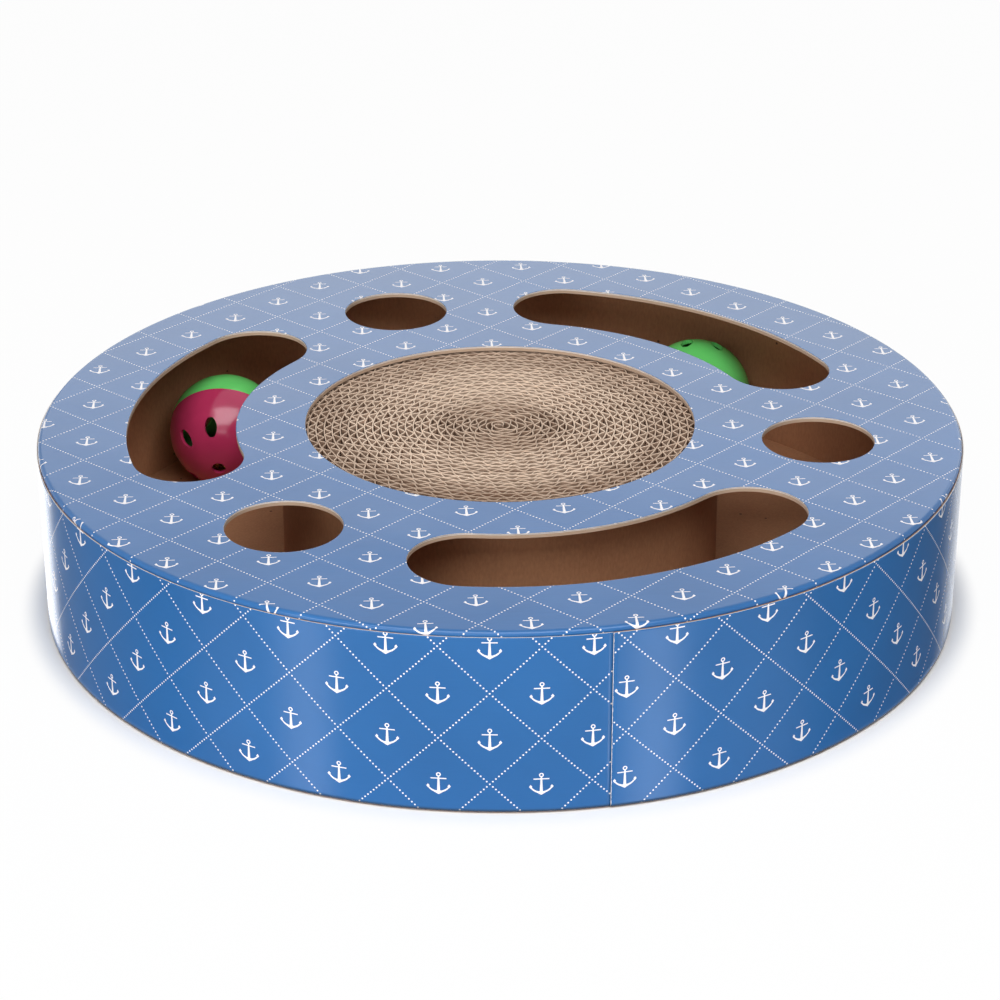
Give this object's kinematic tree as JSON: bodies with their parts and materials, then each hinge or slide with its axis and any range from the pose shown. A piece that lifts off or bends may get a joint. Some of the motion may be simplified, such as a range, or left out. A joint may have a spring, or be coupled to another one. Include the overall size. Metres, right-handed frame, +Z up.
{
  "type": "cat scratching drum",
  "caption": "Low round board drum with a wound corrugated scratching coil in the middle and a slotted ring track round it that holds rattle balls for a cat to bat.",
  "frame": {"origin": "middle of the base panel's underside", "axes": "+Z up through the coil, -Y towards the viewer of the picture, +X to the right"},
  "size_m": [0.3401, 0.34, 0.066],
  "materials": {
    "kraft_board": "smooth unbleached solid board",
    "printed_paper": "blue printed paper with a gloss varnish",
    "liner_paper": "rough cut kraft paper",
    "flute_paper": "rough cut kraft paper",
    "pink_plastic": "gloss moulded plastic",
    "green_plastic": "gloss moulded plastic",
    "bell_brass": "bright pressed sheet",
    "pellet_steel": "plain steel"
  },
  "bodies": {
    "drum": {"base_panel": "kraft_board", "outer_wall": "kraft_board", "wall_print": "printed_paper", "inner_tube": "kraft_board", "top_panel": "kraft_board", "top_print": "printed_paper", "coil_liner": "liner_paper", "coil_flutes": "flute_paper"},
    "bell_a": {"bell_a_top": "bell_brass", "bell_a_bottom": "bell_brass", "bell_a_loop": "bell_brass"},
    "ball_a": {"ball_a_pink_half": "pink_plastic", "ball_a_green_half": "green_plastic"},
    "pellet_a": {"bell_a_pellet": "pellet_steel"},
    "bell_b": {"bell_b_top": "bell_brass", "bell_b_bottom": "bell_brass", "bell_b_loop": "bell_brass"},
    "ball_b": {"ball_b_pink_half": "pink_plastic", "ball_b_green_half": "green_plastic"},
    "pellet_b": {"bell_b_pellet": "pellet_steel"}
  },
  "joints": [
    {"name": "ball_a_orbit", "type": "hinge", "parent": "drum", "child": "bell_a", "pos_m": [0, 0, 0], "axis": [0, 0, 1], "range_deg": [-33.5, 126.5]},
    {"name": "ball_a_roll", "type": "hinge", "parent": "bell_a", "child": "ball_a", "pos_m": [-0.11013, 0.08149, 0.0258], "axis": [-0.8039, 0.5948, 0], "continuous": true},
    {"name": "pellet_a_swing", "type": "hinge", "parent": "bell_a", "child": "pellet_a", "pos_m": [-0.11013, 0.08149, 0.0121], "axis": [-0.8039, 0.5948, 0], "range_deg": [-70, 70]},
    {"name": "ball_b_orbit", "type": "hinge", "parent": "drum", "child": "bell_b", "pos_m": [0, 0, 0], "axis": [0, 0, 1], "range_deg": [-126.5, 33.5]},
    {"name": "ball_b_roll", "type": "hinge", "parent": "bell_b", "child": "ball_b", "pos_m": [0.08084, 0.11941, 0.0258], "axis": [0.5606, 0.8281, 0], "continuous": true},
    {"name": "pellet_b_swing", "type": "hinge", "parent": "bell_b", "child": "pellet_b", "pos_m": [0.08084, 0.11941, 0.0121], "axis": [0.5606, 0.8281, 0], "range_deg": [-70, 70]}
  ],
  "couplings": [
    {"joint": "ball_a_roll", "follows": "ball_a_orbit", "ratio": -6.0889},
    {"joint": "ball_b_roll", "follows": "ball_b_orbit", "ratio": -6.4089}
  ]
}
